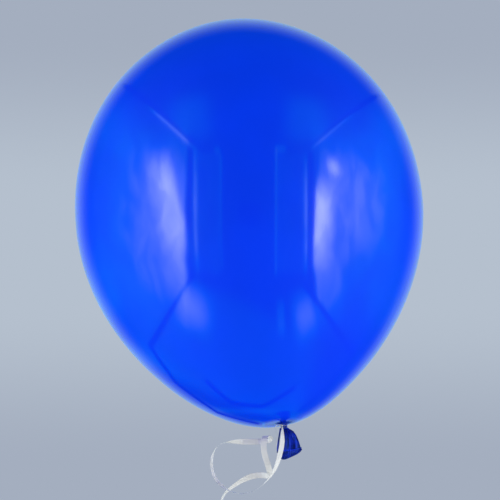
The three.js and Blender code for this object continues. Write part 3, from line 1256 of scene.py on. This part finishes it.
def soft_box_group() -> bpy.types.NodeTree:
    """Builds the soft patch of light that every lamp of the studio is.

    Returns:
        A group whose Glow is the lamp's light at Place, a point of the mirror ball.
    """
    wiring, given, result = new_group(
        "soft_box",
        [("Place", "NodeSocketVector", (0, 0, 0)), ("Centre", "NodeSocketVector", (0, 0, 0)),
         ("Along", "NodeSocketVector", (0, -1, 0)), ("Across", "NodeSocketVector", (1, 0, 0)),
         ("Half Length", "NodeSocketFloat", 0.2), ("Half Width", "NodeSocketFloat", 0.1),
         ("Left", "NodeSocketFloat", 0.05), ("Right", "NodeSocketFloat", 0.05),
         ("Ends", "NodeSocketFloat", 0.05), ("Strength", "NodeSocketFloat", 1.0)],
        [("Glow", "NodeSocketFloat")])
    take = given.outputs
    off = wiring.vector("SUBTRACT", take["Place"], take["Centre"]).outputs[0]
    along = wiring.math("ABSOLUTE", wiring.dot(off, take["Along"]))
    across = wiring.dot(off, take["Across"])
    glow = take["Strength"]
    for place, half, fade in ((along, take["Half Length"], take["Ends"]),
                              (wiring.math("MULTIPLY", across, -1.0), take["Half Width"], take["Left"]),
                              (across, take["Half Width"], take["Right"])):
        spread = wiring.math("MULTIPLY", fade, 0.5)
        edge = wiring.ramp(place, wiring.math("SUBTRACT", half, spread),
                           wiring.math("ADD", half, spread), 1.0, 0.0)
        glow = wiring.math("MULTIPLY", glow, edge)
    wiring.feed(result.inputs["Glow"], glow)
    return wiring.tree


@dataclass(frozen=True)
class Room:
    """The cloth room round the balloon, laid out on the mirror ball from its corners.

    The back wall is open in the middle. Its corners are joined to the room's front corners by
    four creases, and the floor ends in a dark line and a dark rim.
    """

    back_top: tuple[Spot, Spot] = ((-0.315, 0.35), (0.36, 0.36))
    back_low: tuple[Spot, Spot] = ((-0.34, -0.25), (0.31, -0.265))
    front_top: tuple[Spot, Spot] = ((-0.69, 0.62), (0.725, 0.585))
    front_low: tuple[Spot, Spot] = ((-0.65, -0.575), (0.66, -0.535))
    lit_share: float = 0.59           # how much of a top crease is lit on its underside
    lit_drop: tuple[float, float] = (0.02, 0.013)
    floor_line: tuple[Spot, ...] = ((-0.38, -0.68), (-0.25, -0.785), (0.0, -0.78), (0.29, -0.65))
    rim: tuple[Spot, ...] = ((-0.65, -0.575), (-0.575, -0.725), (-0.365, -0.88), (-0.055, -0.95))
    right_rim: tuple[Spot, ...] = ((0.34, -0.815), (0.555, -0.66), (0.67, -0.54))

    def walls(self) -> tuple[Lamp, ...]:
        """Returns the lamps of both side walls: edge strips, cores, boxes and lit cloth."""
        return (
            # the left lamp: its bright core, the dim end of that, its glow, and the lit cloth
            Lamp((-0.49, 0.24), (-0.41, -0.10), 0.055, 0.135, 0.05, 0.20, 4.0),
            Lamp((-0.415, -0.09), (-0.415, -0.32), 0.05, 0.135, 0.025, 0.20, 1.2),
            Lamp((-0.495, 0.26), (-0.525, -0.265), 0.145, 0.34, 0.025, 0.35, 1.15),
            Lamp((-0.565, 0.44), (-0.635, -0.455), 0.235, 0.23, 0.025, 0.275, 0.42),
            # the left edge strip, and the cloth on both sides of the opening
            Lamp((-0.30, 0.275), (-0.31, -0.195), 0.009, 0.015, 0.03, 0.185, 1.3),
            Lamp((-0.23, 0.305), (-0.265, -0.235), 0.08, 0.015, 0.015, 0.035, 0.2),
            Lamp((0.24, 0.32), (0.24, -0.215), 0.085, 0.015, 0.015, 0.035, 0.16),
            # the right edge strip
            Lamp((0.314, 0.265), (0.312, -0.17), 0.008, 0.025, 0.015, 0.185, 1.4),
            # the right lamp: its bright core and upper corner, its glow, its low end, and the cloth
            Lamp((0.41, 0.15), (0.395, -0.145), 0.04, 0.015, 0.115, 0.185, 4.8),
            Lamp((0.455, 0.29), (0.485, 0.225), 0.025, 0.05, 0.055, 0.07, 2.8),
            Lamp((0.56, 0.28), (0.535, -0.12), 0.17, 0.025, 0.365, 0.35, 1.35),
            Lamp((0.425, -0.125), (0.46, -0.335), 0.07, 0.025, 0.17, 0.25, 1.2),
            Lamp((0.59, 0.465), (0.61, -0.395), 0.235, 0.025, 0.23, 0.275, 0.35),
        )

    def frames(self) -> tuple[Lamp, ...]:
        """Returns the thin lit edges of the opening and of the top creases, and the glints."""
        lit = []
        for front, back, drop in zip(self.front_top, self.back_top, self.lit_drop):
            start = tuple(b + self.lit_share * (f - b) for f, b in zip(front, back))
            lit.append(((start[0], start[1] - drop), (back[0], back[1] - drop)))
        return (
            # the opening's two upright edges
            Lamp((-0.157, 0.295), (-0.17, -0.215), 0.005, 0.01, 0.01, 0.045, 0.5),
            Lamp((0.152, 0.335), (0.14, -0.225), 0.006, 0.01, 0.01, 0.035, 0.75),
            # the lit undersides of the top creases
            Lamp(*lit[0], 0.008, 0.013, 0.015, 0.15, 1.2),
            Lamp(*lit[1], 0.007, 0.015, 0.013, 0.15, 0.8),
            # glints at the opening's top corners, and one low in front, by the neck
            Lamp((-0.19, 0.315), (-0.16, 0.32), 0.014, 0.018, 0.018, 0.017, 0.5),
            Lamp((0.15, 0.335), (0.205, 0.335), 0.014, 0.018, 0.018, 0.017, 0.5),
            Lamp((-0.10, -0.91), (0.11, -0.97), 0.005, 0.007, 0.007, 0.05, 0.3),
        )

    def ceiling_and_floor(self) -> tuple[Lamp, ...]:
        """Returns the two ceiling lamps and the lamps of the floor."""
        ceiling = tuple(Lamp((side * 0.33, 0.555), (side * 0.307, 0.36), 0.097, 0.15, 0.15, 0.13,
                             0.42) for side in (-1, 1))
        return (
            *ceiling,
            # the floor boxes: left, right, and a small one inside the right one
            Lamp((-0.32, -0.325), (-0.385, -0.445), 0.07, 0.105, 0.165, 0.155, 1.6),
            Lamp((0.29, -0.315), (0.34, -0.435), 0.06, 0.105, 0.06, 0.145, 1.45),
            Lamp((0.165, -0.33), (0.17, -0.44), 0.023, 0.03, 0.023, 0.065, 0.6),
            # the floor itself, and the strip along its front
            Lamp((-0.09, -0.335), (-0.205, -0.79), 0.54, 0.195, 0.195, 0.085, 0.24),
            Lamp((-0.405, -0.855), (0.105, -0.805), 0.016, 0.03, 0.03, 0.17, 0.16),
        )

    def dark_lines(self) -> tuple[Lamp, ...]:
        """Returns the opening's dark middle, the creases, the floor's line and its rim."""
        crease = (0.009, 0.015, 0.015)
        top, low = (tuple(zip(front, back)) for front, back in (
            (self.front_top, self.back_top), (self.front_low, self.back_low)))
        return (
            # the opening's dark middle
            Lamp((0.0, 0.065), (-0.007, -0.015), 0.05, 0.045, 0.045, 0.055, -0.2),
            # the creases: low ones, then top ones
            *chain(low[0], *crease, 0.03, -1.1), *chain(low[1], *crease, 0.03, -1.1),
            *chain(top[0], *crease, 0.115, -0.5), *chain(top[1], *crease, 0.115, -0.4),
            # the floor's line, then its rim
            *chain(self.floor_line[:3], 0.012, 0.015, 0.02, 0.023, -0.5),
            *chain(self.floor_line[2:], 0.011, 0.015, 0.02, 0.046, -0.4),
            *chain(self.rim, 0.007, 0.008, 0.008, 0.01, -0.8),
            *chain(self.right_rim, 0.007, 0.008, 0.008, 0.01, -0.5),
        )


@dataclass
class Studio:
    """The camera, the pale surroundings, the soft boxes and the floor."""

    aim: Point = (-0.0115, 0.0082, 0.1585)
    distance: float = 2.2
    roll: float = 6.57
    lens: float = 183.3
    sensor: float = 36.0
    floor_size: float = 6.0           # half of its side
    floor_depth: float = -1.2
    backdrop: Colour = srgb(181, 192, 206)
    backdrop_edge: Colour = srgb(164, 174, 191)
    dim: float = 0.07                 # what shows in the gloss where there is no lamp
    pale_back: float = 0.47           # how bright the room is behind the balloon
    warm_from: float = 0.75           # the brightness past which light is no longer pure blue
    warm_edge: float = 0.7            # how white the room is behind the balloon
    blueness: float = 1.3
    fill: float = 0.82
    fill_aside: float = 2.36
    fill_rise: float = -0.27

    def __post_init__(self) -> None:
        """Works out the directions of the front view: right, up and back to the camera."""
        tilt, turn = math.radians(FRONT_ELEVATION), math.radians(self.roll)
        self.back = Vector((0, -math.cos(tilt), math.sin(tilt)))
        across = Vector((1, 0, 0))
        upward = self.back.cross(across)
        self.right = math.cos(turn) * across - math.sin(turn) * upward
        self.up = math.sin(turn) * across + math.cos(turn) * upward

    def build_camera(self) -> None:
        """Sets the camera below the balloon's middle, in front of it."""
        data = bpy.data.cameras.new("front")
        data.lens = self.lens
        data.sensor_width = self.sensor
        camera = bpy.data.objects.new("front", data)
        turn = Matrix((self.right, self.up, self.back)).transposed().to_4x4()
        camera.matrix_world = Matrix.Translation(Vector(self.aim) + self.distance * self.back) @ turn
        bpy.context.scene.collection.objects.link(camera)
        bpy.context.scene.camera = camera

    def build_floor(self) -> None:
        """Lays a plain pale floor well below the balloon, out of its gloss."""
        corners = [(across * self.floor_size, deep * self.floor_size, self.floor_depth)
                   for across, deep in ((-1, -1), (1, -1), (1, 1), (-1, 1))]
        floor = make_object("floor", corners, [(0, 1, 2, 3)])
        material, wiring, shader = new_material("floor_paint")
        wiring.feed_all(shader, {"Base Color": self.backdrop, "Roughness": 0.9})
        floor.data.materials.append(material)
        floor.visible_glossy = floor.visible_diffuse = floor.visible_transmission = False

    def build_surroundings(self) -> None:
        """Lights the balloon from all round, with soft boxes that show in its gloss."""
        world = bpy.data.worlds.new("studio")
        world.use_nodes = True
        world.cycles.sampling_method = "NONE"
        bpy.context.scene.world = world
        world.node_tree.nodes.clear()
        self.wiring = wiring = Wiring(world.node_tree)
        self.way = wiring.add("ShaderNodeTexCoord").outputs["Generated"]
        rise, aside = wiring.dot(self.way, tuple(self.up)), wiring.dot(self.way, tuple(self.right))
        trip = wiring.add("ShaderNodeLightPath")
        colour = wiring.mix(trip.outputs["Is Diffuse Ray"], self._gloss(), self._fill(rise, aside))
        edge = wiring.ramp(wiring.math("ABSOLUTE", rise), 0.02, 0.085)
        seen = wiring.mix(edge, self.backdrop, self.backdrop_edge)
        colour = wiring.mix(trip.outputs["Is Camera Ray"], colour, seen)
        shade = wiring.add("ShaderNodeBackground", {"Color": colour})
        wiring.add("ShaderNodeOutputWorld", {"Surface": shade.outputs[0]})
        bpy.context.scene.view_settings.view_transform = "Standard"

    def _gloss(self) -> bpy.types.NodeSocket:
        """Draws what shiny surfaces mirror: the lamps, the dark front and the pale back.

        Returns:
            The colour seen in a direction.
        """
        wiring, room, back = self.wiring, Room(), tuple(self.back)
        middle = wiring.vector("NORMALIZE", wiring.vector("ADD", self.way, back).outputs[0])
        place = wiring.join("ShaderNodeCombineXYZ", *(
            wiring.dot(middle.outputs[0], tuple(axis)) for axis in (self.right, self.up)))
        box = soft_box_group()
        walls = wiring.math("MULTIPLY", self._lit(box, place, room.walls(), 0.0),
                            self._creases(place))
        others = (*room.frames(), *room.ceiling_and_floor())
        total = wiring.math("ADD", walls, self._lit(box, place, others, self.dim))
        pale = wiring.ramp(wiring.dot(self.way, back), -0.62, -1.0, 0.0, self.pale_back)
        dark = self._lit(box, place, room.dark_lines(), 0.0)
        total = wiring.math("ADD", wiring.math("ADD", total, pale), dark)
        total = wiring.math("MAXIMUM", total, 0.0)
        warm = wiring.math("MAXIMUM", wiring.math("SUBTRACT", total, self.warm_from), 0.0)
        edge = wiring.math("MAXIMUM", wiring.math("ADD", pale, dark), 0.0)
        warm = wiring.math("ADD", warm, wiring.math("MULTIPLY", edge, self.warm_edge))
        return wiring.join("ShaderNodeCombineColor", warm, total,
                           wiring.math("MULTIPLY", total, self.blueness))

    def _lit(self, box: bpy.types.NodeTree, place: bpy.types.NodeSocket,
             lamps: Iterable[Lamp], start: float) -> bpy.types.NodeSocket:
        """Adds up the light of some lamps.

        Args:
            box: The soft_box group.
            place: The point of the mirror ball that is looked at.
            lamps: The lamps.
            start: The light without them.

        Returns:
            The light there.
        """
        total = start
        for lamp in lamps:
            first, last = Vector((*lamp.start, 0)), Vector((*lamp.end, 0))
            along = (last - first).normalized()
            node = place_group(self.wiring, box, Place=place, Centre=tuple((first + last) / 2),
                               Along=tuple(along), Across=(-along.y, along.x, 0.0),
                               Half_Length=(last - first).length / 2, Half_Width=lamp.half_width,
                               Left=lamp.left, Right=lamp.right, Ends=lamp.ends,
                               Strength=lamp.strength)
            total = self.wiring.math("ADD", total, node.outputs["Glow"])
        return total

    def _creases(self, place: bpy.types.NodeSocket) -> bpy.types.NodeSocket:
        """Returns how bright the creased cloth of the walls is at a point, round 1."""
        spread = self.wiring.vector("MULTIPLY", place, (1.0, 0.42, 1.0)).outputs[0]
        cloth = self.wiring.add("ShaderNodeTexNoise", noise_dimensions="2D")
        self.wiring.feed_all(cloth, {"Vector": spread, "Scale": 17.0, "Detail": 4.0,
                                     "Distortion": 0.7})
        return self.wiring.ramp(cloth.outputs["Fac"], 0.28, 0.72, 0.76, 1.2)

    def _fill(self, rise: bpy.types.NodeSocket,
              aside: bpy.types.NodeSocket) -> bpy.types.NodeSocket:
        """Draws the soft light that matt surfaces gather, strongest from both sides.

        Args:
            rise: How far up the direction points.
            aside: How far right it points.

        Returns:
            The light from that way.
        """
        wiring = self.wiring
        sides = wiring.math("MULTIPLY_ADD", wiring.math("MULTIPLY", aside, aside),
                            self.fill_aside, self.fill)
        return wiring.grey(wiring.math("MULTIPLY_ADD", rise, self.fill_rise, sides))




def main() -> None:
    """Builds the studio, the ribbon, the skin and the neck, in that order."""
    logging.basicConfig(level=logging.INFO, format="%(name)s: %(message)s")
    studio = Studio()
    studio.build_camera()
    pieces = Ribbon(StripTree(), RibbonPlastic().build()).build()
    zone, mottle = zone_group(), mottle_group()
    skin = Skin(*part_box("envelope"))
    taut = StretchedLatex(crown=(skin.axis_x, 0.0, skin.high.z)).build(zone, mottle)
    pieces += skin.build(taut)
    pieces += Tail(SlackLatex().build(mottle)).build()
    for piece in pieces:
        log.info("%s: %d faces", piece.name, len(piece.data.polygons))
    studio.build_floor()
    studio.build_surroundings()


if __name__ == "__main__":
    main()
